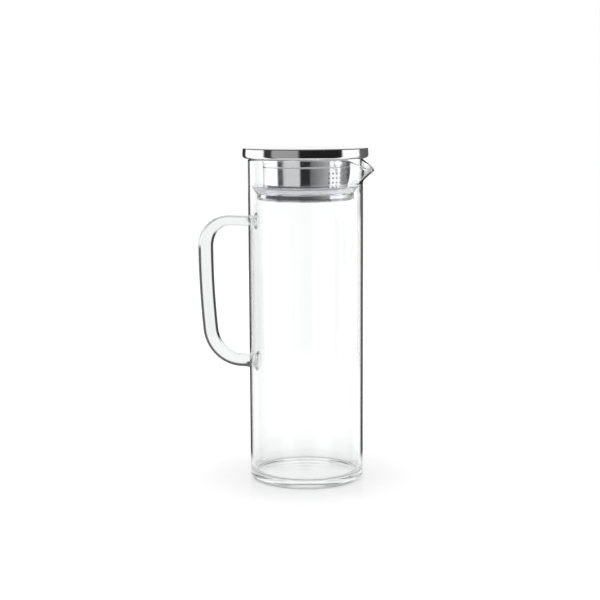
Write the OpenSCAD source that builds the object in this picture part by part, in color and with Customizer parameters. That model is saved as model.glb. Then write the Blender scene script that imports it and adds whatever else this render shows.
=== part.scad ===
// Glass pitcher with a lift-off steel lid. The glass has a pulled spout on +X and a
// welded rod handle on -X. Under the lid hangs a perforated collar with a silicone seal.
// Millimetres, +Z up, origin on the jug's axis in the plane that it stands on.

/* [Jug] */
// Outer diameter of the glass cylinder
body_d = 90; // [80:1:110]
// Height of the glass from its foot to its rim
body_h = 253.7; // [230:0.1:300]
// Thickness of the glass wall
wall = 2.2; // [1.8:0.1:3]
// Thickness of the glass floor
floor_t = 5; // [4:0.1:8]
// Radius of the outside edge between wall and base
heel_r = 3; // [1.5:0.1:4]
// Radius of the inside corner between wall and floor
floor_r = 6; // [3:0.1:9]
// Width of the flat ring that the jug stands on
foot_w = 3; // [2:0.1:8]
// Rise of the hollow inside the foot ring
punt_h = 1.2; // [0.4:0.1:2.5]

/* [Spout] */
// How far the spout's tip stands out from the wall
spout_reach = 11.4; // [8:0.1:16]
// How far the tip lies below the rim
spout_dip = 8; // [3:0.1:10]
// How far below the rim the wall starts to swell into the spout
spout_depth = 19.5; // [15:0.1:20.5]
// Angle round the rim that the spout takes up
spout_sweep = 52; // [40:1:70]

/* [Handle] */
// Height of the upper branch's centre line
upper_h = 203.8; // [180:0.1:215]
// Height of the lower branch's centre line
lower_h = 90.4; // [60:0.1:105]
// Finger room between the glass wall and the grip
finger_gap = 36.6; // [32:0.1:46]
// How far the grip leans in towards its lower end
grip_lean = 3.3; // [0:0.1:8]
// Diameter of the glass rod along the grip
grip_d = 12; // [9:0.1:14]
// Diameter of the upper branch
upper_d = 7.8; // [6:0.1:12]
// Diameter of the lower branch
lower_d = 10.2; // [6:0.1:12]
// Diameter of the upper branch where it is welded on
upper_foot_d = 12.6; // [10:0.1:18]
// Diameter of the lower branch where it is welded on
lower_foot_d = 15; // [11:0.1:20]
// Length over which a branch widens into its weld
foot_flare = 7; // [4:0.1:9]
// Centre-line radius of the upper bend
upper_bend_r = 22; // [16:0.1:27]
// Centre-line radius of the lower bend
lower_bend_r = 27; // [16:0.1:29]

/* [Lid cover] */
// How far the cover stands out past the glass wall
cover_overhang = 4.4; // [3.5:0.1:8]
// Height of the cover from its seat to its top
cover_h = 8.2; // [6:0.1:14]
// Thickness of the stamped steel
sheet_t = 0.7; // [0.5:0.05:0.9]
// How much narrower the cover is at its top, on each side
cover_flare = 0.3; // [0:0.05:0.8]
// Radius of the cover's top edge
cover_edge_r = 1; // [0.9:0.05:2]
// Radius of the hem that is rolled under the cover
hem_r = 2.6; // [1.6:0.1:3.2]
// Width of the hem's flat underside
hem_w = 3.6; // [2.5:0.1:5]
// Gap between the glass rim and the cover's seat
seat_gap = 0.3; // [0.1:0.05:0.6]

/* [Strainer collar] */
// Space between the collar's top and the glass wall
pour_gap = 9.1; // [8.4:0.1:12]
// Length of the collar from the cover's seat to its shoulder
collar_h = 23.2; // [22:0.1:30]
// How much narrower the collar is at its shoulder, on each side
collar_taper = 0.8; // [0:0.05:1.5]
// Step inwards from the shoulder to the neck that carries the seal
shoulder_step = 1.2; // [0.9:0.05:2]
// Length of the neck under the shoulder
neck_h = 8.5; // [7.5:0.1:12]
// Radius of the collar's bends
bend_r = 0.9; // [0.8:0.05:1.2]
// Width of the flange that is welded under the cover
flange_w = 4.4; // [3:0.1:5]
// Width of the flange that holds the seal from below
keeper_w = 3; // [2:0.1:4]
// Distance from the cover's seat down to the pressed line
line_drop = 6.3; // [4:0.1:8]
// Depth of the pressed line
line_depth = 0.4; // [0.2:0.05:0.5]
// Height of the pressed line
line_h = 1.2; // [0.8:0.1:2]
// Diameter of a strainer hole
hole_d = 1.6; // [1:0.1:2.2]
// Rows of strainer holes
hole_rows = 4; // [1:1:4]
// Holes in each row
hole_columns = 12; // [3:1:16]
// Distance between holes round the collar
hole_pitch = 3.72; // [3:0.01:4.5]
// Distance between rows
row_pitch = 3.45; // [2.8:0.05:3.6]
// Distance from the shoulder up to the lowest row
first_row = 1.9; // [1.8:0.05:4]

/* [Seal] */
// Space between the seal's ring and the glass wall
ring_gap = 4.8; // [3:0.1:5.5]
// Height of the ring's straight side
ring_h = 4.4; // [3:0.1:5]
// Height of the whole seal up to the tip of its lip
seal_h = 10.4; // [8.5:0.1:12]
// Thickness of the lip
lip_t = 1.1; // [0.8:0.05:1.4]
// Thickness of the sleeve round the collar's neck
sleeve_t = 1.6; // [1:0.1:2]
// Gap between the lip and the glass
lip_gap = 0.25; // [0.2:0.05:0.4]
// Gap between the collar's neck and the seal's bore
neck_gap = 0.05; // [0.03:0.01:0.08]
// Gap above and below the seal on the neck
end_gap = 0.1; // [0.05:0.05:0.3]

/* [Hidden] */
$fn = 96;
// Steps of an arc in a profile, and of the spout's and the handle's loft
arc_steps = 6;
rim_steps = 8;
spout_steps = 26;
swell_steps = 9;
rod_sides = 24;
branch_steps = 7;
grip_steps = 10;
// The wall swells slowly at first, and the dip grows a little faster than the reach
swell_power = 1.2;
dip_power = 0.9;
// Overrun of cuts, and how deep the spout's edges are sunk into the wall
over = 1;
join_depth = wall / 5;

glass = [0.83, 0.91, 0.93, 0.45];
steel = [0.72, 0.72, 0.74];
silicone = [0.9, 0.9, 0.92, 0.8];

body_r = body_d / 2;
inner_r = body_r - wall;
rim_r = wall / 2;
grip_r = body_r + finger_gap + grip_d / 2;
seat_z = body_h + seat_gap;
top_z = seat_z + cover_h;
cover_r = body_r + cover_overhang;
collar_r = inner_r - pour_gap;
shoulder_r = collar_r - collar_taper;
shoulder_z = seat_z - collar_h;
neck_r = shoulder_r - shoulder_step;
keeper_z = shoulder_z - neck_h;

// Points of an arc round c, from angle a to angle b
function arc(c, r, a, b, n) = [for (i = [0:n]) c + r * [cos(a + (b - a) * i / n), sin(a + (b - a) * i / n)]];
function mix(a, b, t) = a + (b - a) * t;
function smooth(t) = t * t * (3 - 2 * t);
function backwards(p) = [for (i = [len(p) - 1:-1:0]) p[i]];
function unit(v) = v / norm(v);

// The normal on the right-hand side of the line from a to b
function right_of(a, b) = [unit(b - a)[1], -unit(b - a)[0]];
// The shift of point i that moves the whole line p to its right by one thickness
function mitre(p, i) =
    let (before = right_of(p[max(i - 1, 0)], p[max(i, 1)]))
    let (after = right_of(p[min(i, len(p) - 2)], p[min(i + 1, len(p) - 1)]))
    (before + after) / (1 + before * after);
function moved_right(p, t) = [for (i = [0:len(p) - 1]) p[i] + t * mitre(p, i)];

// A turned sheet: p is its outer face, and the metal lies on the right of it
module turned_sheet(p, t) {
    rotate_extrude() polygon(concat(p, backwards(moved_right(p, t))));
}

// A loft through rings that all have n points
module loft(rings) {
    n = len(rings[0]);
    last = (len(rings) - 1) * n;
    sides = [
        for (i = [0:len(rings) - 2], j = [0:n - 1])
            let (a = i * n + j, b = i * n + (j + 1) % n)
            each [[a, b, b + n], [a, b + n, a + n]]
    ];
    near_end = [
        for (j = [0:floor((n - 1) / 2) - 1])
            each concat([[j, n - 1 - j, j + 1]], n - 2 - j > j + 1 ? [[j + 1, n - 1 - j, n - 2 - j]] : [])
    ];
    far_end = [for (f = near_end) [last + f[0], last + f[2], last + f[1]]];
    polyhedron([for (ring = rings) each ring], concat(near_end, sides, far_end), convexity = 6);
}

// Half section of the plain jug: hollow underside, foot ring, heel, wall, round rim, floor
module jug_section() {
    foot_r = body_r - heel_r;
    punt_r = foot_r - foot_w;
    punt_curve_r = (punt_r * punt_r + punt_h * punt_h) / (2 * punt_h);
    punt_angle = asin(punt_r / punt_curve_r);
    polygon(concat(
        arc([0, punt_h - punt_curve_r], punt_curve_r, 90, 90 - punt_angle, arc_steps),
        arc([foot_r, heel_r], heel_r, -90, 0, arc_steps),
        arc([body_r - rim_r, body_h - rim_r], rim_r, 0, 180, rim_steps),
        arc([inner_r - floor_r, floor_t + floor_r], floor_r, 0, -90, arc_steps),
        [[0, floor_t]]
    ));
}

// How much of the spout's reach the rim has at an angle from the spout's middle
function spout_share(angle) = pow(cos(min(90, 180 * abs(angle) / spout_sweep)), 2);

// Section of the spout's glass at an angle: up the outside, over the rim, down the inside.
// Its foot, and with sunk its whole outline, is sunk into the wall's glass to join it.
function spout_section(angle, sunk = 0) =
    let (share = spout_share(angle))
    let (bottom = body_h - spout_depth)
    let (top = body_h - rim_r - spout_dip * pow(share, dip_power) - sunk)
    let (outside = [
        for (i = [0:swell_steps])
            let (v = i / swell_steps)
            [body_r - sunk + spout_reach * share * pow(v, swell_power), mix(bottom, top, v)]
    ])
    let (edge_r = rim_r - sunk)
    let (edge = outside[swell_steps] - [edge_r, 0])
    concat(
        [[body_r - join_depth, bottom - join_depth]],
        outside,
        [for (i = [1:rim_steps - 1]) edge + edge_r * [cos(180 * i / rim_steps), sin(180 * i / rim_steps)]],
        backwards([for (p = outside) p - [wall - 2 * sunk, 0]]),
        [[inner_r + join_depth, bottom - join_depth]]
    );

module spout() {
    half = spout_sweep / 2;
    joint_angle = join_depth / body_r * 180 / PI;
    rings = concat(
        [[-half - joint_angle, join_depth]],
        [for (i = [0:spout_steps]) [mix(-half, half, i / spout_steps), 0]],
        [[half + joint_angle, join_depth]]
    );
    loft([
        for (ring = rings)
            [for (p = spout_section(ring[0], ring[1])) [p[0] * cos(ring[0]), p[0] * sin(ring[0]), p[1]]]
    ]);
}

// The piece of wall that the spout takes the place of
module spout_cut() {
    rotate([0, 0, -spout_sweep / 2])
        rotate_extrude(angle = spout_sweep)
            translate([inner_r - over, body_h - spout_depth])
                square([wall + 2 * over, spout_depth + over]);
}

module glass_body() {
    color(glass) {
        difference() {
            rotate_extrude() jug_section();
            spout_cut();
        }
        spout();
    }
}

// Rod radius on a branch at a distance x from the wall, widening into the weld
function branch_rod(rod_r, foot_r, x) = rod_r + (foot_r - rod_r) * pow(max(0, 1 - x / foot_flare), 2);

// A branch of the handle from the wall to its bend, each step as [radius from axis, height, rod radius]
function branch(height, length, rod_r, foot_r) = [
    for (i = [0:branch_steps - 1])
        let (x = mix(-wall, length, pow(i / branch_steps, 1.5)))
        [body_r + x, height, branch_rod(rod_r, foot_r, max(x, 0))]
];

// A bend of the handle round c, its rod changing from one radius to the other
function bend(c, r, from, to, rod_from, rod_to) =
    let (p = arc(c, r, from, to, arc_steps + 2))
    [for (i = [0:len(p) - 1]) [p[i][0], p[i][1], mix(rod_from, rod_to, smooth(i / (len(p) - 1)))]];

// The grip as a cubic curve that leaves both bends along their own direction
function grip(p, q, lean_angle) =
    let (pull = norm(q - p) / 3)
    let (a = p - [0, pull])
    let (b = q + pull * [sin(lean_angle), cos(lean_angle)])
    [
        for (i = [1:grip_steps - 1])
            let (t = i / grip_steps)
            let (at = mix(mix(mix(p, a, t), mix(a, b, t), t), mix(mix(a, b, t), mix(b, q, t), t), t))
            [at[0], at[1], grip_d / 2]
    ];

function handle_route() =
    let (lean_angle = atan(2 * grip_lean / (upper_h - lower_h - upper_bend_r - lower_bend_r)))
    let (upper_c = [grip_r - upper_bend_r, upper_h - upper_bend_r])
    let (lower_c = [grip_r - grip_lean - lower_bend_r, lower_h + lower_bend_r])
    let (upper = bend(upper_c, upper_bend_r, 90, 0, upper_d / 2, grip_d / 2))
    let (lower = bend(lower_c, lower_bend_r, -lean_angle, -90, grip_d / 2, lower_d / 2))
    let (grip_from = [upper[len(upper) - 1][0], upper[len(upper) - 1][1]])
    let (grip_to = [lower[0][0], lower[0][1]])
    concat(
        branch(upper_h, upper_c[0] - body_r, upper_d / 2, upper_foot_d / 2),
        upper,
        grip(grip_from, grip_to, lean_angle),
        lower,
        backwards(branch(lower_h, lower_c[0] - body_r, lower_d / 2, lower_foot_d / 2))
    );

// A round ring of the rod, square to its route
function rod_ring(route, i) =
    let (along = unit(route[min(i + 1, len(route) - 1)] - route[max(i - 1, 0)]))
    let (flat = unit([along[0], along[1]]))
    [
        for (j = [0:rod_sides - 1])
            let (side = route[i][2] * cos(360 * j / rod_sides))
            [
                route[i][0] - flat[1] * side,
                route[i][2] * sin(360 * j / rod_sides),
                route[i][1] + flat[0] * side
            ]
    ];

module glass_handle() {
    route = handle_route();
    color(glass)
        rotate([0, 0, 180])
            difference() {
                loft([for (i = [0:len(route) - 1]) rod_ring(route, i)]);
                cylinder(r = body_r, h = body_h);
            }
}

// Top, edge, rim and rolled hem of the cover, as one turned sheet
module lid_cover() {
    top_r = cover_r - cover_flare;
    outer_face = concat(
        [[0, top_z]],
        arc([top_r - cover_edge_r, top_z - cover_edge_r], cover_edge_r, 90, 0, arc_steps),
        arc([cover_r - hem_r, seat_z + hem_r], hem_r, 0, -90, arc_steps),
        [[cover_r - hem_r - hem_w, seat_z]]
    );
    color(steel) turned_sheet(outer_face, sheet_t);
}

// The plate that lies on the hem, closes the cover and carries the collar
module lid_plate() {
    color(steel)
        translate([0, 0, seat_z + sheet_t])
            cylinder(r = cover_r - hem_r, h = sheet_t);
}

function collar_radius(z) = mix(shoulder_r, collar_r, (z - shoulder_z) / (seat_z - shoulder_z));

// Flange, tapered sleeve with a pressed line, shoulder, neck and keeper flange
module collar_sheet() {
    line_z = seat_z - line_drop;
    flange_bend = [collar_r + bend_r, seat_z - bend_r];
    shoulder_bend = [shoulder_r - bend_r, shoulder_z + bend_r];
    keeper_bend = [neck_r + bend_r, keeper_z + bend_r];
    outer_face = concat(
        [[collar_r + bend_r + flange_w, seat_z]],
        arc(flange_bend, bend_r, 90, 180, arc_steps),
        [for (s = [1, 0, -1]) [collar_radius(line_z) - (1 - abs(s)) * line_depth, line_z + s * line_h / 2]],
        arc(shoulder_bend, bend_r, 0, -90, arc_steps),
        [[neck_r, shoulder_z]],
        arc(keeper_bend, bend_r, 180, 270, arc_steps),
        [[neck_r + bend_r + keeper_w, keeper_z]]
    );
    turned_sheet(outer_face, sheet_t);
}

module strainer_holes() {
    pitch_angle = hole_pitch / shoulder_r * 180 / PI;
    for (row = [0:hole_rows - 1], column = [0:hole_columns - 1])
        rotate([0, 0, (column - (hole_columns - 1) / 2) * pitch_angle])
            translate([neck_r - sheet_t - over, 0, shoulder_z + first_row + row * row_pitch])
                rotate([0, 90, 0])
                    cylinder(d = hole_d, h = collar_r - neck_r + sheet_t + 2 * over, $fn = 24);
}

module strainer_collar() {
    color(steel)
        difference() {
            collar_sheet();
            strainer_holes();
        }
}

// Ring, flared lip that wipes the glass, and the sleeve that hugs the collar's neck
module gasket() {
    bottom = keeper_z + end_gap;
    bore_r = neck_r + neck_gap;
    ring_r = inner_r - ring_gap;
    lip_r = inner_r - lip_gap;
    lip_root = bottom + ring_h;
    tip = bottom + seal_h;
    valley = lip_root + lip_t;
    color(silicone)
        rotate_extrude()
            polygon(concat(
                [[bore_r + bend_r, bottom]],
                arc([ring_r - lip_t, bottom + lip_t], lip_t, -90, 0, arc_steps),
                [[ring_r, lip_root]],
                arc([lip_r - lip_t / 2, tip - lip_t / 2], lip_t / 2, 0, 135, arc_steps),
                [[ring_r - lip_t / 2, valley], [bore_r + sleeve_t, valley]],
                [[bore_r + sleeve_t, shoulder_z - end_gap], [bore_r, shoulder_z - end_gap]],
                [[bore_r, bottom + bend_r]]
            ));
}

glass_body();
glass_handle();
lid_cover();
lid_plate();
strainer_collar();
gasket();
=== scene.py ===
import math

import bmesh
import bpy
from mathutils import Matrix, Vector


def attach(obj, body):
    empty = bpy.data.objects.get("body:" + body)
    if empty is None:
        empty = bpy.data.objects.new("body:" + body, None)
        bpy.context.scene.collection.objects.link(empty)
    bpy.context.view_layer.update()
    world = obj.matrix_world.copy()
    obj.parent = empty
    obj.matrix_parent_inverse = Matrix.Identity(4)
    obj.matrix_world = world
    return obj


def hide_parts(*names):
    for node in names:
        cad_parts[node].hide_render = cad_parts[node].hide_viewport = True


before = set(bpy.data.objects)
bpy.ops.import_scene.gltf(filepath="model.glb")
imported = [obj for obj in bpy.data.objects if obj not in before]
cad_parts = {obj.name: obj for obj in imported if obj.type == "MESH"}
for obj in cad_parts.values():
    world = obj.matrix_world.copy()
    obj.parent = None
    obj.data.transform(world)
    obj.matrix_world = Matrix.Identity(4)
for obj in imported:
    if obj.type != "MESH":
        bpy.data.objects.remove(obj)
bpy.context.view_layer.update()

# Shapes are in millimetres. A point nearer the jug's axis than ON_AXIS lies on it
MM = 0.001
ON_AXIS = 1e-6

# The jug
BODY_R = 45.0
BODY_H = 253.7
WALL = 2.2
FLOOR_T = 5.0
HEEL_R = 3.0
FLOOR_R = 6.0
FOOT_W = 3.0
PUNT_H = 1.2
INNER_R = BODY_R - WALL
RIM_R = WALL / 2

# The pulled spout
SPOUT_REACH = 11.4
SPOUT_DIP = 8.0
SPOUT_DEPTH = 19.5
SPOUT_SWEEP = 52.0
SWELL_POWER = 1.2
DIP_POWER = 0.9

# The welded rod handle
UPPER_H = 203.8
LOWER_H = 90.4
GRIP_R = 87.6
GRIP_LEAN = 3.3
GRIP_D = 12.0
UPPER_D = 7.8
LOWER_D = 10.2
UPPER_FOOT_D = 12.6
LOWER_FOOT_D = 15.0
FOOT_FLARE = 7.0
UPPER_BEND_R = 22.0
LOWER_BEND_R = 27.0

# The lid
SEAT_Z = 254.0
TOP_Z = 262.2
COVER_R = 49.4
COVER_FLARE = 0.3
COVER_EDGE_R = 1.0
HEM_R = 2.6
HEM_W = 3.6
SHEET = 0.7

# The strainer collar under it
COLLAR_R = 33.7
SHOULDER_R = 32.9
SHOULDER_Z = 230.8
NECK_R = 31.7
KEEPER_Z = 222.3
BEND_R = 0.9
FLANGE_W = 4.4
KEEPER_W = 3.0
LINE_Z = 247.7
LINE_DEPTH = 0.4
LINE_H = 1.2
HOLE_D = 1.6
HOLE_ROWS = 4
HOLE_COLUMNS = 12
HOLE_PITCH = 3.72
ROW_PITCH = 3.45
FIRST_ROW = 1.9
HOLE_SIDES = 20
PUNCH_LENGTH = 6

# The silicone seal
SEAL_BOTTOM = 222.4
BORE_R = 31.75
RING_R = 38.0
RING_TOP = 226.8
LIP_R = 42.55
LIP_TIP = 232.8
LIP_T = 1.1
SLEEVE_T = 1.6
SLEEVE_TOP = 230.7

# Where the photograph was taken from, in metres and degrees, with the lens in millimetres
VIEW_TURN = 22.0
CAMERA_DISTANCE = 1.055
CAMERA_HEIGHT = 0.291
CAMERA_PITCH = 8.03
CAMERA_YAW = -0.26
CAMERA_ROLL = -0.307
LENS = 80.7


def mix(a, b, t):
    return a + (b - a) * t


def smooth(t):
    t = min(max(t, 0.0), 1.0)
    return t * t * (3 - 2 * t)


def arc(centre, radius, start, end, steps):
    """Points on an arc, from one angle to another, as (radius, height)."""
    turns = [math.radians(mix(start, end, i / steps)) for i in range(steps + 1)]
    return [
        (centre[0] + radius * math.cos(a), centre[1] + radius * math.sin(a))
        for a in turns
    ]


def line(p, q, steps):
    """Points from p to q, without q."""
    return [
        (mix(p[0], q[0], i / steps), mix(p[1], q[1], i / steps)) for i in range(steps)
    ]


def moved_right(path, distance):
    """The whole line moved to its right-hand side."""
    last_stretch = len(path) - 2
    moved = []
    for i, here in enumerate(path):
        sides = []
        for start in (max(i - 1, 0), min(i, last_stretch)):
            along = Vector(path[start + 1]) - Vector(path[start])
            along.normalize()
            sides.append(Vector((along.y, -along.x)))
        mitre = (sides[0] + sides[1]) / (1 + sides[0].dot(sides[1]))
        moved.append((here[0] + distance * mitre.x, here[1] + distance * mitre.y))
    return moved


def sheet_outline(outer_face):
    """The closed outline of a metal sheet, anticlockwise, from the line of its outer face."""
    return outer_face[::-1] + moved_right(outer_face, SHEET)


def make_mesh(name, points, faces, finishes, finish_of=None, sharp=35):
    """A piece from points in millimetres. Faces point outwards already."""
    mesh = bpy.data.meshes.new(name)
    mesh.from_pydata([[c * MM for c in p] for p in points], [], faces)
    for finish in finishes:
        mesh.materials.append(finish)
    for i, polygon in enumerate(mesh.polygons):
        polygon.use_smooth = True
        polygon.material_index = finish_of[i] if finish_of else 0
    mesh.set_sharp_from_angle(angle=math.radians(sharp))
    piece = bpy.data.objects.new(name, mesh)
    bpy.context.scene.collection.objects.link(piece)
    return piece


def add_points(points, more):
    """Adds points to a list and gives their numbers in it."""
    points += more
    return list(range(len(points) - len(more), len(points)))


def quad(*corners):
    """A face with four corners, or with three where two of them are one point."""
    return list(dict.fromkeys(corners))


def band(outer, inner):
    """Faces from one ring of points to the next."""
    return [
        quad(*corners)
        for corners in zip(outer, inner, inner[1:] + inner[:1], outer[1:] + outer[:1])
    ]


def set_round(sections):
    """Points of the sections set round the jug's axis, and the numbers of each row's points."""
    sides = len(sections)
    points, rows = [], []
    for i, (first_r, first_z) in enumerate(sections[0]):
        if first_r < ON_AXIS:
            rows.append(add_points(points, [(0, 0, first_z)]) * sides)
            continue
        row = []
        for j, section in enumerate(sections):
            r, z = section[i]
            a = 2 * math.pi * j / sides
            row.append((r * math.cos(a), r * math.sin(a), z))
        rows.append(add_points(points, row))
    return points, rows


def turned(name, outline, finish, sides=256, sharp=35):
    """A piece turned about the jug's axis from a closed, anticlockwise outline."""
    points, rows = set_round([outline] * sides)
    faces = []
    for i, row in enumerate(rows):
        above = rows[(i + 1) % len(rows)]
        if row[0] == row[1] and above[0] == above[1]:
            continue
        for j in range(sides):
            k = (j + 1) % sides
            faces.append(quad(row[j], row[k], above[k], above[j]))
    return make_mesh(name, points, faces, [finish], sharp=sharp)


class Wire:
    """The value on a node's output, used in ordinary arithmetic."""

    def __init__(self, look, node, output=0):
        self.look, self.made = look, node
        self.socket = node.outputs[output] if len(node.outputs) else None

    def of(self, output):
        return Wire(self.look, self.made, output)

    def maths(self, operation, *others, clamp=False):
        values = dict(enumerate((self, *others)))
        settings = {"operation": operation, "use_clamp": clamp}
        return self.look.node("ShaderNodeMath", settings, values)

    def __add__(self, other):
        return self.maths("ADD", other)

    def __sub__(self, other):
        return self.maths("SUBTRACT", other)

    def __mul__(self, other):
        return self.maths("MULTIPLY", other)

    def __truediv__(self, other):
        return self.maths("DIVIDE", other)

    def __rsub__(self, other):
        return self.look.node("ShaderNodeMath", {"operation": "SUBTRACT"}, {0: other, 1: self})

    def __rtruediv__(self, other):
        return self.look.node("ShaderNodeMath", {"operation": "DIVIDE"}, {0: other, 1: self})

    __radd__ = __add__
    __rmul__ = __mul__

    def rise(self, low, high):
        """0 below low, 1 above high, and a soft step between."""
        settings = {"interpolation_type": "SMOOTHSTEP"}
        values = {"Value": self, "From Min": low, "From Max": high}
        return self.look.node("ShaderNodeMapRange", settings, values)


def set_stops(elements, stops):
    """Gives a ramp its stops, each a value from 0 to 1 with the grey that it has there."""
    while len(elements) < len(stops):
        elements.new(1.0)
    for element, (at, _) in zip(elements, stops):
        element.position = at
    for element, (_, tone) in zip(elements, stops):
        element.color = grey(tone)


class Look:
    """A node tree that is written as expressions."""

    def __init__(self, owner):
        owner.use_nodes = True
        self.tree = owner.node_tree
        self.tree.nodes.clear()

    def node(self, kind, settings=None, values=None, output=0):
        """A node of a kind, its settings first, and then the values or links of its sockets."""
        made = self.tree.nodes.new(kind)
        for name, value in (settings or {}).items():
            if name == "stops":
                set_stops(made.color_ramp.elements, value)
            else:
                setattr(made, name, value)
        for name, value in (values or {}).items():
            if isinstance(value, Wire):
                self.tree.links.new(value.socket, made.inputs[name])
            else:
                made.inputs[name].default_value = value
        return Wire(self, made, output)

    def blend(self, share, a, b):
        """Colour a where share is 0 and b where it is 1."""
        settings = {"data_type": "RGBA", "clamp_factor": True}
        return self.node("ShaderNodeMix", settings, {0: share, 6: a, 7: b}, 2)

    def noise(self, place, scale, detail, roughness=0.5):
        values = {"Vector": place, "Scale": scale, "Detail": detail, "Roughness": roughness}
        return self.node("ShaderNodeTexNoise", values=values)

    def mark(self, name):
        """A number that the piece keeps on its points."""
        return self.node("ShaderNodeAttribute", {"attribute_name": name}, output="Fac")

    def surface(self, values):
        return self.node("ShaderNodeBsdfPrincipled", values=values)

    def mixed(self, share, a, b):
        """Surface a where share is 0 and b where it is 1."""
        return self.node("ShaderNodeMixShader", values={0: share, 1: a, 2: b})

    def put_out(self, shader, kind="ShaderNodeOutputMaterial"):
        self.node(kind, values={"Surface": shader})


def grey(v):
    return (v, v, v, 1)


def new_finish(name):
    finish = bpy.data.materials.new(name)
    return finish, Look(finish)


def clear_glass(name, tint, soften):
    """Fire-polished glass with a painted dark outline: where it is seen along its surface it is
    mixed with black glass, painted shade in place of the studio's dark flags that it would mirror
    there.
    """
    finish, look = new_finish(name)
    facing = look.node("ShaderNodeLayerWeight", values={"Blend": 0.5}, output="Facing")
    reach = look.mark("edge")
    cosine = 1 - facing
    # Painted shade: the share of black glass, from the outline in as far as the edge mark reaches
    # and as deep as the shade mark says
    along = (reach - cosine).maths("DIVIDE", reach * soften + 0.0001, clamp=True)
    clear = {"Base Color": tint, "Roughness": 0.0, "IOR": 1.47, "Transmission Weight": 1.0}
    dark = {**clear, "Base Color": grey(0.0), "Specular Tint": grey(0.0)}
    look.put_out(look.mixed(along * look.mark("shade"), look.surface(clear), look.surface(dark)))
    return finish


def fused_glass(name):
    """Where the rod is melted into the wall there is no surface between them."""
    finish, look = new_finish(name)
    look.put_out(look.node("ShaderNodeBsdfTransparent", values={"Color": (1, 1, 1, 1)}))
    return finish


def spun_steel(name, colour, roughness, grain, depth, sweep):
    """Stainless steel with fine spun lines round the jug's axis, and a painted dark reflection
    where a piece marks it, along the cover's rounded edge.
    """
    finish, look = new_finish(name)
    place = look.node("ShaderNodeTexCoord", output="Object")
    x = look.node("ShaderNodeSeparateXYZ", values={0: place})
    y, z = x.of(1), x.of(2)
    radius = (x * x + y * y).maths("SQRT")
    turn = y.maths("ARCTAN2", x)
    fine = {0: radius * grain, 1: z * grain, 2: turn * 1.5}
    lines = look.noise(look.node("ShaderNodeCombineXYZ", values=fine), 1.0, 3.0, 0.6)
    broad = look.noise(place, 60.0, 2.0)
    gloss = roughness + (lines - 0.5) * 0.10 + (broad - 0.5) * 0.05
    darker = tuple(c * 0.94 for c in colour[:3]) + (1,)
    tone = look.blend(lines.rise(0.3, 0.7), darker, colour)
    wide = {0: radius * grain / 7, 1: z * grain / 7}
    sweeps = look.noise(look.node("ShaderNodeCombineXYZ", values=wide), 1.0, 3.0)
    tone = look.blend(sweeps.rise(0.35, 0.65) * sweep, tone, grey(0.3))
    # Painted reflection: the marked rounded edge is painted near black where it would mirror the
    # dark flags
    tone = look.blend(look.mark("drawn"), tone, grey(0.1))
    bump = {"Strength": depth, "Distance": 0.00004, "Height": lines}
    bump = look.node("ShaderNodeBump", values=bump)
    steel = {"Base Color": tone, "Metallic": 1.0, "Roughness": gloss, "Normal": bump}
    look.put_out(look.surface(steel))
    return finish


def clear_silicone(name):
    """Silicone: polished and clear in the thick ring and at the lip's thin edge, milky between,
    with painted shade along its lowest edge.
    """
    finish, look = new_finish(name)
    place = look.node("ShaderNodeTexCoord", output="Object")
    height = look.node("ShaderNodeSeparateXYZ", values={0: place}).of(2)
    bloom = look.noise(place, 900.0, 2.0)
    cloud = look.noise(place, 45.0, 2.0)
    tone = look.blend(cloud, (0.965, 0.965, 0.985, 1), (0.985, 0.985, 1.0, 1))
    # Painted shade: the lowest edge of the ring is painted near black
    lowest_edge_painted_shade = 1 - height.rise((SEAL_BOTTOM + 0.3) * MM, (SEAL_BOTTOM + 1.8) * MM)
    tone = look.blend(lowest_edge_painted_shade * 0.75, tone, grey(0.05))
    bump = {"Strength": 0.05, "Distance": 0.0001, "Height": bloom}
    bump = look.node("ShaderNodeBump", values=bump)
    clear = {"Base Color": tone, "Roughness": 0.05, "IOR": 1.41, "Normal": bump}
    clear["Transmission Weight"] = 1.0
    milky = {**clear, "Roughness": 0.1 + cloud * 0.08, "Transmission Weight": 0.7}
    lip = height.rise((RING_TOP - 0.8) * MM, (RING_TOP + 3.0) * MM)
    lip = lip * (1 - height.rise((LIP_TIP - 2.8) * MM, (LIP_TIP - 1.2) * MM))
    look.put_out(look.mixed(lip, look.surface(clear), look.surface(milky)))
    return finish


def spout_share(angle):
    """How much of the spout's reach the rim has at an angle from its middle."""
    return math.cos(math.radians(min(90, 180 * abs(angle) / SPOUT_SWEEP))) ** 2


# How the mesh of the glass is divided, with the tallest row of the wall in millimetres
JUG_SIDES = 360
CELL = 2 * math.pi * BODY_R / JUG_SIDES
TALLEST_ROW = 6
TOP_ROWS = 4
PUNT_STEPS = 24
HEEL_STEPS = 12
SWELL_STEPS = 26
RIM_STEPS = 12
INSIDE_STEPS = 24
COVE_STEPS = 14
FLOOR_STEPS = 12
BRANCH_STEPS = 5
BEND_STEPS = 32
GRIP_STEPS = 40

# The welds, each as its height and the radius that the rod widens to
WELDS = ((UPPER_H, UPPER_FOOT_D / 2), (LOWER_H, LOWER_FOOT_D / 2))
WELD_FILLET = 0.9
WELD_CELLS = 12
WELD_RINGS = 6
FUSED_RINGS = 5


def wall_heights():
    """Rows of the outer wall: even ones at the welds, wide ones between."""
    heights, z = [], HEEL_R
    for at, _ in sorted(WELDS):
        start = at - WELD_CELLS * CELL
        steps = max(2, round((start - z) / TALLEST_ROW))
        heights += [mix(z, start, i / steps) for i in range(1, steps)]
        heights += [start + CELL * i for i in range(2 * WELD_CELLS + 1)]
        z = heights[-1]
    top = BODY_H - SPOUT_DEPTH
    heights += [mix(z, top, i / TOP_ROWS) for i in range(1, TOP_ROWS + 1)]
    return heights


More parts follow.
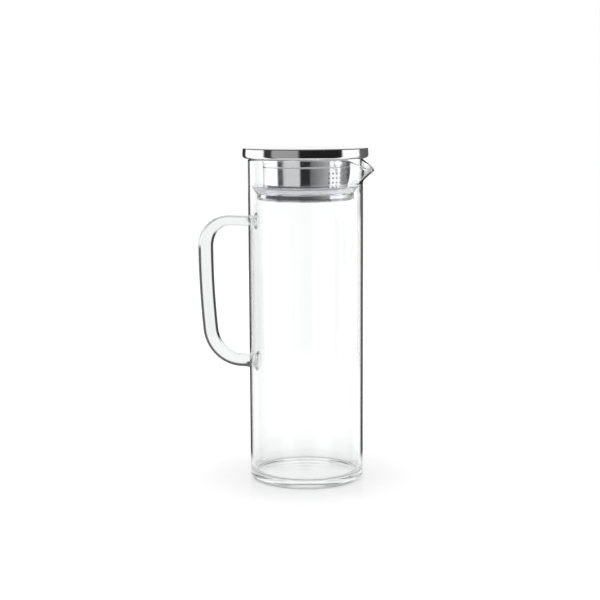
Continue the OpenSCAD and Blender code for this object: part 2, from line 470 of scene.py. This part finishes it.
def jug_section(angle):
    """The glass from the middle of its underside, over the rim, to the middle of its floor."""
    foot_r = BODY_R - HEEL_R
    punt_r = foot_r - FOOT_W
    curve_r = (punt_r**2 + PUNT_H**2) / (2 * PUNT_H)
    punt_angle = math.degrees(math.asin(punt_r / curve_r))
    share = spout_share(angle)
    swell_top = BODY_H - RIM_R - SPOUT_DIP * share**DIP_POWER
    bottom = BODY_H - SPOUT_DEPTH
    swell = []
    for i in range(1, SWELL_STEPS + 1):
        v = i / SWELL_STEPS
        swell.append((BODY_R + SPOUT_REACH * share * v**SWELL_POWER, mix(bottom, swell_top, v)))
    edge = (swell[-1][0] - RIM_R, swell[-1][1])
    inside = [(r - WALL, z) for r, z in [(BODY_R, bottom)] + swell]
    section = arc((0, PUNT_H - curve_r), curve_r, 90, 90 - punt_angle, PUNT_STEPS)
    section += arc((foot_r, HEEL_R), HEEL_R, -90, 0, HEEL_STEPS)
    section += [(BODY_R, z) for z in wall_heights()]
    section += swell
    section += arc(edge, RIM_R, 0, 180, RIM_STEPS)[1:-1]
    section += inside[::-1]
    section += line((INNER_R, bottom), (INNER_R, FLOOR_T + FLOOR_R), INSIDE_STEPS)[1:]
    section += arc((INNER_R - FLOOR_R, FLOOR_T + FLOOR_R), FLOOR_R, 0, -90, COVE_STEPS)
    section += line((INNER_R - FLOOR_R, FLOOR_T), (0, FLOOR_T), FLOOR_STEPS)[1:] + [(0, FLOOR_T)]
    return section


def weld_square():
    """The square of wall round a weld, as steps sideways and up from its middle."""
    n, runs = WELD_CELLS, range(-WELD_CELLS, WELD_CELLS)
    square = [(n, run) for run in runs] + [(-run, n) for run in runs]
    return square + [(-n, -run) for run in runs] + [(run, -n) for run in runs]


SQUARE = weld_square()
BEARINGS = [math.atan2(up, across) for across, up in SQUARE]


def on_wall(across, up):
    """A point on the outside of the wall, on the handle's side."""
    return (-math.sqrt(BODY_R**2 - across**2), across, up)


def rings_to_weld(points, border, at, weld_r):
    """Rings of the wall's points from a square border in to the edge of a weld."""
    rings = [border]
    for step in range(1, WELD_RINGS + 1):
        t = step / WELD_RINGS
        ring = []
        for p, bearing in zip(border, BEARINGS):
            across = mix(points[p][1], weld_r * math.cos(bearing), t)
            up = mix(points[p][2], at + weld_r * math.sin(bearing), t)
            ring.append(on_wall(across, up))
        rings.append(add_points(points, ring))
    return rings


def rings_to_middle(points, ring, at):
    """Rings of the wall's points from the edge of a weld in to its middle."""
    rings = [ring]
    for step in range(1, FUSED_RINGS):
        t = step / FUSED_RINGS
        smaller = [on_wall(points[p][1] * (1 - t), mix(points[p][2], at, t)) for p in ring]
        rings.append(add_points(points, smaller))
    rings.append(add_points(points, [on_wall(0, at)]) * len(ring))
    return rings


def jug_glass(finish, fused):
    """The jug, with a finer patch of wall at each weld."""
    sections = [jug_section((j * 360 / JUG_SIDES + 180) % 360 - 180) for j in range(JUG_SIDES)]
    points, rows = set_round(sections)
    heights = wall_heights()
    wall_start = PUNT_STEPS + 1 + HEEL_STEPS + 1
    middle = JUG_SIDES // 2
    faces, finish_of, cut = [], [], set()
    for at, foot_r in WELDS:
        centre = wall_start + min(range(len(heights)), key=lambda i: abs(heights[i] - at))
        for i in range(centre - WELD_CELLS, centre + WELD_CELLS):
            for j in range(middle - WELD_CELLS, middle + WELD_CELLS):
                cut.add((i, j))
        # On the handle's side the columns run towards -Y
        border = [rows[centre + up][middle - across] for across, up in SQUARE]
        outside = rings_to_weld(points, border, at, foot_r + WELD_FILLET)
        inside = rings_to_middle(points, outside[-1], at)
        for rings, slot in ((outside, 0), (inside, 1)):
            for outer, inner in zip(rings, rings[1:]):
                faces += band(outer, inner)
                finish_of += [slot] * len(outer)
    for i in range(len(rows) - 1):
        for j in range(JUG_SIDES):
            if (i, j) not in cut:
                k = (j + 1) % JUG_SIDES
                faces.append(quad(rows[i][j], rows[i][k], rows[i + 1][k], rows[i + 1][j]))
                finish_of.append(0)
    piece = make_mesh("jug_glass", points, faces, [finish, fused], finish_of, sharp=60)
    drop_loose_points(piece)
    mark_edges(piece, [wall_edge(v.co / MM) for v in piece.data.vertices])
    return piece


def drop_loose_points(piece):
    """Drops the points that no face uses."""
    mesh = bmesh.new()
    mesh.from_mesh(piece.data)
    bmesh.ops.delete(mesh, geom=[v for v in mesh.verts if not v.link_faces], context="VERTS")
    mesh.to_mesh(piece.data)
    mesh.free()


def mark_edges(piece, marks):
    """Keeps, for each point, how far in from its outline the glass is painted dark, and how dark.
    """
    reach = piece.data.attributes.new("edge", "FLOAT", "POINT")
    shade = piece.data.attributes.new("shade", "FLOAT", "POINT")
    for i, (far, deep) in enumerate(marks):
        reach.data[i].value = far
        shade.data[i].value = deep


# How far in the glass is painted dark, as the cosine that the view makes with it, and how dark
HEEL_REACH = 1.2
HEEL_SHADE = 0.36
SPOUT_EDGE = 0.66
ROD_REACH = 0.8
OUTER_NEAR_WELD = 0.34
OUTER_ON_GRIP = 0.88
INNER_SHADE = 0.97

# Where the rod's painted dark outlines come and go: a ring counted from the upper weld, and for
# how many
OUTER_LEAVES = (34, 10)
OUTER_RETURNS = (50, 3)
INNER_COMES = (32, 8)
INNER_LEAVES = (98, 8)


def wall_edge(p):
    """Reach and depth of the painted dark outline at a point of the wall: at its heel and its
    spout.
    """
    r, z = math.hypot(p.x, p.y), p.z
    heel_r = BODY_R - HEEL_R
    if z < HEEL_R and math.hypot(r - heel_r, z - HEEL_R) > HEEL_R - 0.1 and r > heel_r:
        return HEEL_REACH, HEEL_SHADE * smooth((HEEL_R - z) / HEEL_R)
    share = spout_share(math.degrees(math.atan2(p.y, p.x)))
    risen = max(0, (z - BODY_H + SPOUT_DEPTH) / SPOUT_DEPTH)
    # Only the outer face, which is more than half the wall out from the inner one
    if r > BODY_R + SPOUT_REACH * share * risen - 1.2:
        return SPOUT_EDGE, share * smooth(risen)
    return 0.0, 0.0


def rod_at_weld(rod_r, foot_r, x):
    """Radius of a branch at a distance from the wall, with a small fillet where it joins."""
    r = rod_r + (foot_r - rod_r) * max(0, 1 - x / FOOT_FLARE) ** 2
    near = max(0.0, 1 - x / WELD_FILLET)
    return r + WELD_FILLET * (1 - math.sqrt(max(0.0, 1 - near * near)))


def branch(height, length, rod_r, foot_r):
    """A branch from the wall to its bend, as (distance from axis, height, rod radius)."""
    stops = [0.0, 0.02, 0.06, 0.14, 0.26, 0.42, 0.62, 0.9, 1.3, 1.9, 2.6, 3.4, 4.3, 5.3, 6.4, 7.6]
    stops += [mix(stops[-1], length, i / BRANCH_STEPS) for i in range(1, BRANCH_STEPS)]
    return [(BODY_R + x, height, rod_at_weld(rod_r, foot_r, x)) for x in stops]


def bend(centre, radius, start, end, rod_from, rod_to):
    """A bend of the rod, which swells or thins along it."""
    path = arc(centre, radius, start, end, BEND_STEPS)
    return [(r, z, mix(rod_from, rod_to, smooth(i / BEND_STEPS))) for i, (r, z) in enumerate(path)]


def grip(p, q, lean):
    """The grip as a cubic curve that leaves both bends along their own direction."""
    p, q = Vector(p[:2]), Vector(q[:2])
    pull = (q - p).length / 3
    a, b = p - Vector((0, pull)), q + pull * Vector((math.sin(lean), math.cos(lean)))
    path = []
    for i in range(1, GRIP_STEPS):
        t = i / GRIP_STEPS
        at = (1 - t) ** 3 * p + 3 * t * (1 - t) ** 2 * a + 3 * t * t * (1 - t) * b + t**3 * q
        path.append((at.x, at.y, GRIP_D / 2))
    return path


def handle_route():
    """The whole rod from the upper weld to the lower, as (distance from axis, height, radius)."""
    lean = math.atan(2 * GRIP_LEAN / (UPPER_H - LOWER_H - UPPER_BEND_R - LOWER_BEND_R))
    upper_c = (GRIP_R - UPPER_BEND_R, UPPER_H - UPPER_BEND_R)
    lower_c = (GRIP_R - GRIP_LEAN - LOWER_BEND_R, LOWER_H + LOWER_BEND_R)
    upper = bend(upper_c, UPPER_BEND_R, 90, 0, UPPER_D / 2, GRIP_D / 2)
    lower = bend(lower_c, LOWER_BEND_R, -math.degrees(lean), -90, GRIP_D / 2, LOWER_D / 2)
    return (
        branch(UPPER_H, upper_c[0] - BODY_R, UPPER_D / 2, UPPER_FOOT_D / 2)
        + upper
        + grip(upper[-1], lower[0], lean)
        + lower
        + branch(LOWER_H, lower_c[0] - BODY_R, LOWER_D / 2, LOWER_FOOT_D / 2)[::-1]
    )


def handle_glass(finish, fused):
    """The bent rod, with an end at each weld that lies on the wall."""
    route = handle_route()
    last = len(route) - 1
    points, rings = [], []
    for i, (r, z, rod) in enumerate(route):
        before, after = route[max(i - 1, 0)], route[min(i + 1, last)]
        along = Vector((after[0] - before[0], after[1] - before[1])).normalized()
        # Bearings turn with the rod, so that both ends meet the wall's own points
        upwards = -1 if i == last else 1
        ring = []
        for bearing in BEARINGS:
            across, side = rod * math.cos(bearing), rod * math.sin(bearing)
            if i in (0, last):
                ring.append(on_wall(across, z + upwards * side))
            else:
                ring.append((along.y * side - r, across, z + along.x * side))
        rings.append(add_points(points, ring))
    marks = [rod_edge(i, math.sin(b) > 0) for i in range(len(route)) for b in BEARINGS]
    faces = []
    for ring, following in zip(rings, rings[1:]):
        faces += band(ring, following)
    finish_of = [0] * len(faces)
    for end, way in ((0, -1), (last, 1)):
        inwards = rings_to_middle(points, rings[end], route[end][1])
        for outer, inner in zip(inwards, inwards[1:]):
            faces += [corners[::way] for corners in band(outer, inner)]
    finish_of += [1] * (len(faces) - len(finish_of))
    marks += [(0.0, 0.0)] * (len(points) - len(marks))
    piece = make_mesh("handle_glass", points, faces, [finish, fused], finish_of, sharp=60)
    mark_edges(piece, marks)
    return piece


def rod_edge(i, outer):
    """Reach and depth of the painted dark outline at ring i of the rod, on its outer or inner
    side.
    """

    def past(first, rings):
        return smooth((i - first) / rings)

    if outer:
        shade = OUTER_ON_GRIP * past(*OUTER_RETURNS) + OUTER_NEAR_WELD * (1 - past(*OUTER_LEAVES))
    else:
        shade = INNER_SHADE * past(*INNER_COMES) * (1 - past(*INNER_LEAVES))
    return ROD_REACH, shade


def straight(p, q, margin=0.3):
    """Two points just inside the ends of a flat stretch, so that its shading stays flat."""
    share = margin / math.dist(p, q)
    return [(mix(p[0], q[0], t), mix(p[1], q[1], t)) for t in (share, 1 - share)]


def cover(finish):
    """Top, edge, rim and rolled hem, from one sheet."""
    top_r = COVER_R - COVER_FLARE
    face = line((0, TOP_Z), (top_r - COVER_EDGE_R, TOP_Z), 12)
    face += arc((top_r - COVER_EDGE_R, TOP_Z - COVER_EDGE_R), COVER_EDGE_R, 90, 0, 10)
    face += straight((top_r, TOP_Z - COVER_EDGE_R), (COVER_R, SEAT_Z + HEM_R))
    face += arc((COVER_R - HEM_R, SEAT_Z + HEM_R), HEM_R, 0, -90, 18)
    face += [(COVER_R - HEM_R - HEM_W, SEAT_Z)]
    piece = turned("lid_cover_steel", sheet_outline(face), finish)
    # A painted dark reflection along the rounded edge
    mark_painted_edge_reflection(piece, top_r - COVER_EDGE_R, TOP_Z - COVER_EDGE_R)
    return piece


def mark_painted_edge_reflection(piece, centre_r, centre_z):
    """Keeps how dark each point of the cover's rounded edge is painted, a painted dark reflection,
    most where it turns down.
    """
    drawn = piece.data.attributes.new("drawn", "FLOAT", "POINT")
    for v in piece.data.vertices:
        r, z = math.hypot(v.co.x, v.co.y) / MM - centre_r, v.co.z / MM - centre_z
        if r > 0.05 and z > 0.05 and math.hypot(r, z) > COVER_EDGE_R - 0.1:
            tilt = math.degrees(math.atan2(z, r))
            drawn.data[v.index].value = 1 - smooth((tilt - 45) / 20)


def plate(finish):
    """The disc that closes the cover, with its rim softened."""
    low, high, r, soft = SEAT_Z + SHEET, SEAT_Z + 2 * SHEET, COVER_R - HEM_R, 0.15
    outline = [(0, low), (r - soft, low), (r, low + soft)]
    outline += [(r, high - soft), (r - soft, high), (0, high)]
    return turned("lid_plate_steel", outline, finish)


def collar_radius(z):
    return mix(SHOULDER_R, COLLAR_R, (z - SHOULDER_Z) / (SEAT_Z - SHOULDER_Z))


def collar_blank(finish):
    """The collar unperforated: flange, sleeve with a pressed line, shoulder, neck and keeper."""
    face = [(COLLAR_R + BEND_R + FLANGE_W, SEAT_Z)]
    face += arc((COLLAR_R + BEND_R, SEAT_Z - BEND_R), BEND_R, 90, 180, 8)
    face += straight(face[-1], (collar_radius(LINE_Z + LINE_H / 2), LINE_Z + LINE_H / 2))
    for s in (1, 0.7, 0.4, 0.15, 0, -0.15, -0.4, -0.7, -1):
        deep = LINE_DEPTH * (0.5 + 0.5 * math.cos(math.pi * s))
        z = LINE_Z + s * LINE_H / 2
        face.append((collar_radius(z) - deep, z))
    face += straight(face[-1], (SHOULDER_R, SHOULDER_Z + BEND_R))
    face += arc((SHOULDER_R - BEND_R, SHOULDER_Z + BEND_R), BEND_R, 0, -90, 8)
    face += [(NECK_R, SHOULDER_Z)]
    face += straight(face[-1], (NECK_R, KEEPER_Z + BEND_R))
    face += arc((NECK_R + BEND_R, KEEPER_Z + BEND_R), BEND_R, 180, 270, 8)
    face += [(NECK_R + BEND_R + KEEPER_W, KEEPER_Z)]
    return turned("collar_steel", sheet_outline(face), finish, sides=240)


class Net:
    """A geometry node tree with named inputs."""

    def __init__(self, name):
        self.tree = bpy.data.node_groups.new(name, "GeometryNodeTree")
        self.tree.is_modifier = True
        self.names = {}
        given_back = {"in_out": "OUTPUT", "socket_type": "NodeSocketGeometry"}
        self.tree.interface.new_socket("Geometry", **given_back)
        self.input("Geometry", "NodeSocketGeometry", None)
        self.start = self.tree.nodes.new("NodeGroupInput")
        self.end = self.tree.nodes.new("NodeGroupOutput")

    def input(self, name, kind, value):
        socket = self.tree.interface.new_socket(name, in_out="INPUT", socket_type=kind)
        self.names[name] = (socket.identifier, value)

    def given(self, name):
        return self.start.outputs[name]

    def node(self, kind, settings=None, values=None):
        """Adds a node and gives its first output."""
        made = self.tree.nodes.new(kind)
        for name, value in (settings or {}).items():
            setattr(made, name, value)
        for name, value in (values or {}).items():
            if isinstance(value, bpy.types.NodeSocket):
                self.tree.links.new(value, made.inputs[name])
            else:
                made.inputs[name].default_value = value
        return made.outputs[0]

    def maths(self, operation, a, b=0.0):
        return self.node("ShaderNodeMath", {"operation": operation}, {0: a, 1: b})

    def place(self):
        """The x and y of each point."""
        place = self.node("GeometryNodeInputPosition")
        x = self.node("ShaderNodeSeparateXYZ", values={0: place})
        return x, x.node.outputs[1]

    def applied_to(self, piece):
        """Runs the tree on a piece and gives its result as a plain mesh."""
        modifier = piece.modifiers.new(self.tree.name, "NODES")
        modifier.node_group = self.tree
        for identifier, value in self.names.values():
            if value is not None:
                modifier[identifier] = value
        graph = bpy.context.evaluated_depsgraph_get()
        mesh = bpy.data.meshes.new_from_object(piece.evaluated_get(graph))
        piece.modifiers.remove(modifier)
        piece.data = mesh
        return piece


def perforate(piece, finish):
    """Punches the strainer's rows of holes through the collar, centred on the spout."""
    net = Net("strainer holes")
    net.input("Rows", "NodeSocketInt", HOLE_ROWS)
    net.input("Columns", "NodeSocketInt", HOLE_COLUMNS)
    net.input("Hole diameter", "NodeSocketFloat", HOLE_D * MM)
    net.input("Column step", "NodeSocketFloat", HOLE_PITCH / SHOULDER_R)
    net.input("Row step", "NodeSocketFloat", ROW_PITCH * MM)
    net.input("Lowest row", "NodeSocketFloat", (SHOULDER_Z + FIRST_ROW) * MM)
    net.input("Collar radius", "NodeSocketFloat", SHOULDER_R * MM)
    net.input("Punch length", "NodeSocketFloat", PUNCH_LENGTH * MM)
    net.input("Finish", "NodeSocketMaterial", finish)
    columns, rows, radius = (net.given(n) for n in ("Columns", "Rows", "Collar radius"))
    width = net.maths("MULTIPLY", net.maths("SUBTRACT", columns, 1.0), net.given("Column step"))
    height = net.maths("MULTIPLY", net.maths("SUBTRACT", rows, 1.0), net.given("Row step"))
    size = {"Size X": width, "Size Y": height, "Vertices X": columns, "Vertices Y": rows}
    grid = net.node("GeometryNodeMeshGrid", values=size)
    # The flat grid's x is an angle round the collar, and its y a height from the patch's middle
    angle, up = net.place()
    rise = net.maths("ADD", up, net.maths("MULTIPLY", height, 0.5))
    wrapped = {
        0: net.maths("MULTIPLY", radius, net.maths("COSINE", angle)),
        1: net.maths("MULTIPLY", radius, net.maths("SINE", angle)),
        2: net.maths("ADD", rise, net.given("Lowest row")),
    }
    wrapped = net.node("ShaderNodeCombineXYZ", values=wrapped)
    spread = {"Geometry": grid, "Position": wrapped}
    spread = net.node("GeometryNodeSetPosition", values=spread)
    hole_r = net.maths("MULTIPLY", net.given("Hole diameter"), 0.5)
    punch = {"Vertices": HOLE_SIDES, "Radius": hole_r, "Depth": net.given("Punch length")}
    punch = net.node("GeometryNodeMeshCylinder", values=punch)
    x, y = net.place()
    outwards = {1: math.pi / 2, 2: net.maths("ARCTAN2", y, x)}
    outwards = net.node("ShaderNodeCombineXYZ", values=outwards)
    punches = {"Points": spread, "Instance": punch, "Rotation": outwards}
    punches = net.node("GeometryNodeInstanceOnPoints", values=punches)
    punches = net.node("GeometryNodeRealizeInstances", values={0: punches})
    settings = {"operation": "DIFFERENCE", "solver": "EXACT"}
    holed = {"Mesh 1": net.given("Geometry"), "Mesh 2": punches}
    holed = net.node("GeometryNodeMeshBoolean", settings, holed)
    whole = net.node("GeometryNodeRealizeInstances", values={0: holed})
    done = {"Geometry": whole, "Material": net.given("Finish")}
    done = net.node("GeometryNodeSetMaterial", values=done)
    net.tree.links.new(done, net.end.inputs[0])
    net.applied_to(piece)
    for polygon in piece.data.polygons:
        polygon.use_smooth = True
    piece.data.set_sharp_from_angle(angle=math.radians(35))
    return piece


def seal(finish):
    """Ring, flared lip and sleeve of the silicone seal."""
    valley = RING_TOP + LIP_T
    stretches = [
        [(BORE_R, SEAL_BOTTOM + 0.9), (BORE_R + 0.9, SEAL_BOTTOM)],
        arc((RING_R - LIP_T, SEAL_BOTTOM + LIP_T), LIP_T, -90, 0, 10),
        [(RING_R, RING_TOP - 0.2), (RING_R + 0.12, RING_TOP + 0.1)],
        arc((LIP_R - LIP_T / 2, LIP_TIP - LIP_T / 2), LIP_T / 2, 0, 135, 10),
        [(RING_R - LIP_T / 2 + 0.3, valley + 0.35), (RING_R - LIP_T / 2 - 0.2, valley)],
        [(BORE_R + SLEEVE_T + 0.4, valley), (BORE_R + SLEEVE_T, valley + 0.4)],
        arc((BORE_R + SLEEVE_T - 0.3, SLEEVE_TOP - 0.3), 0.3, 0, 90, 4),
        arc((BORE_R + 0.3, SLEEVE_TOP - 0.3), 0.3, 90, 180, 4),
    ]
    outline = []
    for i, stretch in enumerate(stretches):
        following = stretches[(i + 1) % len(stretches)][0]
        outline += stretch
        if math.dist(stretch[-1], following) > 0.5:
            outline += straight(stretch[-1], following, 0.1)
    return turned("seal_silicone", outline, finish, sharp=50)


def add_camera():
    """The photograph's camera, turned with the jug's own frame."""
    pitch, yaw, roll = (math.radians(a) for a in (CAMERA_PITCH, CAMERA_YAW, CAMERA_ROLL))
    run = math.cos(pitch)
    forward = Vector((math.sin(yaw) * run, math.cos(yaw) * run, -math.sin(pitch)))
    level = Vector((math.cos(yaw), -math.sin(yaw), 0))
    up = level.cross(forward)
    right = level * math.cos(roll) + up * math.sin(roll)
    up = up * math.cos(roll) - level * math.sin(roll)
    turn = Matrix.Rotation(math.radians(VIEW_TURN), 3, "Z")
    axes = Matrix((turn @ right, turn @ up, turn @ -forward)).transposed().to_4x4()
    data = bpy.data.cameras.new("camera")
    data.lens = LENS
    data.clip_start = 0.05
    camera = bpy.data.objects.new("camera", data)
    stand = turn @ Vector((0, -CAMERA_DISTANCE, CAMERA_HEIGHT))
    camera.matrix_world = Matrix.Translation(stand) @ axes
    bpy.context.scene.collection.objects.link(camera)
    bpy.context.scene.camera = camera


# What polished glass and steel mirror, as bearings round the jug with the grey at each. A bearing
# is in degrees, from 0 towards the camera to 90 on the right of the photograph and 180 behind
RIM_FLAGS = (
    [(-180, 1.0), (-170, 1.0), (-165, 0.04), (-141, 0.06), (-137, 1.4), (-83, 1.4), (-80, 0.05)]
    + [(-65, 0.05), (-62, 0.45), (-14, 0.42), (-11, 0.02), (69, 0.02), (72, 1.4), (113, 1.4)]
    + [(117, 0.18), (164, 0.12), (170, 1.0), (180, 1.0)]
)
COLLAR_FLAGS = (
    [(-180, 1.0), (-176, 1.0), (-174, 0.05), (-152, 0.05), (-148, 1.9), (-84, 1.9), (-77, 0.06)]
    + [(-66, 0.06), (-57, 0.92), (-16, 0.9), (-13, 0.02), (11, 0.02), (14, 0.2), (60, 0.5)]
    + [(66, 0.45), (72, 1.5), (105, 1.5), (110, 0.3), (122, 0.12), (136, 0.03), (173, 0.04)]
    + [(176, 1.0), (180, 1.0)]
)
NECK_FLAGS = (
    [(-180, 0.1), (-152, 0.05), (-148, 1.4), (-128, 1.2), (-120, 0.1), (10, 0.1), (30, 0.17)]
    + [(66, 0.42), (70, 1.5), (109, 1.5), (130, 0.6), (146, 0.3), (152, 0.1), (180, 0.1)]
)
MOUTH_FLAGS = [(-180, 1.0), (-176, 1.0), (-174, 0.1)] + NECK_FLAGS[1:-2] + [(152, 1.0), (180, 1.0)]
WALL_FLAGS = (
    [(-180, 0.08), (-176, 0.05), (-155, 0.05), (-150, 0.8), (-122, 0.8), (-116, 0.2), (-64, 0.2)]
    + [(-58, 0.9), (-38, 0.95), (-32, 0.3), (28, 0.3), (34, 0.9), (56, 1.0), (62, 0.4), (110, 0.4)]
    + [(118, 1.0), (146, 1.0), (151, 0.07), (180, 0.08)]
)

# Where bands of flags give way to one another, as the height of a direction on a unit ball
COLLAR_FROM = (-0.2, -0.17)
COLLAR_TO = (-0.08, -0.06)
NECK_FROM = (-0.085, -0.07)
MOUTH_FROM = (-0.062, -0.056)
RIM_FROM = (0.0, 0.03)
RIM_TO = (0.16, 0.3)

# The white room and table as seen through glass, which takes some of their light away
THROUGH_GLASS = 1.12

# Faces that a ray has gone through when it comes from the collar, or from behind the seal
FACES_FROM_COLLAR = 4
FACES_FROM_NECK = 6

# The table top, in metres from the jug's axis
TABLE_R = 1.4
# Where the painted shadow round the jug's foot fades out
SHADE_FADES = (0.03, 0.12)
LIGHT_GROWS = (0.04, 0.2)
GLOSS_FADES = (0.06, 0.16)
FLAGS_FROM = (0.06, 0.1)
STEEL_FLAGS_FROM = (0.2, 0.24)
COLLAR_FLAGS_FROM = (0.4, 0.5)


def flags(look, x, stops, spread=None):
    """A set of flags by the bearing of a place or direction, given as its split parts, x first.

    With a spread, bearings are moved on by it, away from the camera's side.
    """
    front = -90 + VIEW_TURN
    bearing = x.of(1).maths("ARCTAN2", x) * (1 / (2 * math.pi)) + (0.5 - front / 360)
    bearing = bearing.maths("FRACT")
    if spread is not None:
        bearing = (bearing + (bearing - 0.5).maths("SIGN") * spread).maths("FRACT")
    stops = [((at + 180) / 360, value) for at, value in stops]
    return look.node("ShaderNodeValToRGB", {"stops": stops}, {0: bearing})


def once_or_more(depth):
    """1 if this has happened to a ray at all, and 0 if it hasn't."""
    return depth.maths("MINIMUM", 1.0)


def mirrored_rays(look):
    """1 for a ray that was mirrored, 0 for one that only passed through or was scattered."""
    path = look.node("ShaderNodeLightPath")
    return once_or_more(path.of("Glossy Depth")) * (1 - once_or_more(path.of("Diffuse Depth")))


def bare_steel_rays(look):
    """1 for a ray that comes straight from steel, with no glass after it."""
    path = look.node("ShaderNodeLightPath")
    return path.of("Is Glossy Ray") * (1 - path.of("Is Singular Ray"))


def straight_rays(look):
    """1 for a ray that went through clear glass and wasn't scattered."""
    path = look.node("ShaderNodeLightPath")
    return path.of("Is Transmission Ray") * (1 - once_or_more(path.of("Diffuse Depth")))


def rays_from_inside(look, faces):
    """1 for a ray that has gone through at least this many faces."""
    path = look.node("ShaderNodeLightPath")
    return path.of("Transmission Depth").rise(faces - 1.0, faces - 0.5)


def studio_world():
    """A white room. Polished things also mirror its dark flags and two white panels."""
    world = bpy.data.worlds.new("studio")
    bpy.context.scene.world = world
    look = Look(world)
    way = look.node("ShaderNodeTexCoord", output="Generated")
    x = look.node("ShaderNodeSeparateXYZ", values={0: way})
    height = x.of(2)
    sets = (RIM_FLAGS, COLLAR_FLAGS, NECK_FLAGS, MOUTH_FLAGS, WALL_FLAGS)
    rim, collar, neck, mouth, wall = (flags(look, x, f) for f in sets)
    white = grey(1.0)
    room = look.blend(height.rise(*COLLAR_FROM), white, collar)
    room = look.blend(height.rise(*COLLAR_TO), room, white)
    room = look.blend(rays_from_inside(look, FACES_FROM_NECK), room, neck)
    wall = look.blend(height.rise(*NECK_FROM), wall, neck)
    wall = look.blend(height.rise(*MOUTH_FROM), wall, mouth)
    room = look.blend(rays_from_inside(look, FACES_FROM_COLLAR), wall, room)
    room = look.blend(height.rise(*RIM_FROM), room, rim)
    room = look.blend(bare_steel_rays(look), room, rim)
    room = look.blend(height.rise(*RIM_TO), room, white)
    light = look.blend(straight_rays(look), white, grey(THROUGH_GLASS))
    colour = look.blend(mirrored_rays(look), light, room)
    shader = look.node("ShaderNodeBackground", values={"Color": colour, "Strength": 1.0})
    look.put_out(shader, "ShaderNodeOutputWorld")
    world.cycles.sampling_method = "NONE"


def light_paths():
    """Lets light travel on inside the rod, from weld to weld, and pass the wall unblurred."""
    cycles = bpy.context.scene.cycles
    cycles.max_bounces = cycles.glossy_bounces = cycles.transmission_bounces = 24
    cycles.blur_glossy = 0.0


def table_surface():
    """White, with the jug's soft shadow, partly real and partly painted as a greyer colour round
    its foot, and a trace of its reflection. Mirrored rays see flags.
    """
    finish, look = new_finish("white_table")
    path = look.node("ShaderNodeLightPath")
    seen = path.of("Is Camera Ray").maths("MAXIMUM", path.of("Is Transmission Ray"))
    seen = seen.maths("MAXIMUM", path.of("Is Glossy Ray"))
    place = look.node("ShaderNodeTexCoord", output="Object")
    away = look.node("ShaderNodeVectorMath", {"operation": "LENGTH"}, {0: place}, "Value")
    # Painted shadow: the table's colour is greyer round the jug's foot
    white = look.blend(away.rise(*SHADE_FADES), grey(0.85), grey(1.0))
    white = look.blend(seen, grey(0.8), white)
    matt = look.node("ShaderNodeBsdfDiffuse", values={"Color": white})
    bright = {"Color": grey(1.0), "Strength": THROUGH_GLASS}
    bright = look.node("ShaderNodeEmission", values=bright)
    matt = look.mixed(seen * (0.2 + away.rise(*LIGHT_GROWS) * 0.8), matt, bright)
    gloss = {"Color": grey(1.0), "Roughness": 0.12}
    gloss = look.node("ShaderNodeBsdfGlossy", values=gloss)
    table = look.mixed((1 - away.rise(*GLOSS_FADES)) * 0.12, matt, gloss)
    x = look.node("ShaderNodeSeparateXYZ", values={0: place})
    # Rays leave the jug from its sides, so near it they land further round than they head
    spread = BODY_R * MM / (2 * math.pi) / away
    wall = flags(look, x, WALL_FLAGS, spread)
    rim, collar = (flags(look, x, f) for f in (RIM_FLAGS, COLLAR_FLAGS))
    collar = look.blend(away.rise(*COLLAR_FLAGS_FROM), grey(1.0), collar)
    wall = look.blend(rays_from_inside(look, FACES_FROM_COLLAR), wall, collar)
    bare = bare_steel_rays(look)
    room = look.node("ShaderNodeEmission", values={"Color": look.blend(bare, wall, rim)})
    near = away.rise(*FLAGS_FROM) * (1 - bare) + away.rise(*STEEL_FLAGS_FROM) * bare
    look.put_out(look.mixed(mirrored_rays(look) * near, table, room))
    return finish


def add_floor():
    """The table top that the jug stands on."""
    mesh = bpy.data.meshes.new("table_top")
    shape = bmesh.new()
    bmesh.ops.create_circle(shape, cap_ends=True, segments=128, radius=TABLE_R)
    shape.to_mesh(mesh)
    shape.free()
    mesh.materials.append(table_surface())
    table = bpy.data.objects.new("table_top", mesh)
    bpy.context.scene.collection.objects.link(table)


def ride(piece, body, node):
    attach(piece, body)
    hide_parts(node)


add_camera()
studio_world()
light_paths()
add_floor()
bpy.context.scene.view_settings.view_transform = "Standard"

wall_glass = clear_glass("wall_glass", (0.985, 0.992, 0.99, 1), 0.3)
rod_glass = clear_glass("rod_glass", (0.83, 0.84, 0.84, 1), 0.15)
fused = fused_glass("fused_glass")
cover_steel = spun_steel(
    "cover_steel", (0.76, 0.76, 0.765, 1), roughness=0.06, grain=9000, depth=0.2, sweep=0.12
)
collar_steel = spun_steel(
    "collar_steel", (0.74, 0.74, 0.755, 1), roughness=0.06, grain=7000, depth=0.2, sweep=0.05
)
silicone = clear_silicone("clear_silicone")

ride(jug_glass(wall_glass, fused), "pitcher", "glass_body")
ride(handle_glass(rod_glass, fused), "pitcher", "glass_handle")
ride(cover(cover_steel), "lid", "lid_cover")
ride(plate(cover_steel), "lid", "lid_plate")
ride(perforate(collar_blank(collar_steel), collar_steel), "lid", "strainer_collar")
ride(seal(silicone), "seal", "gasket")
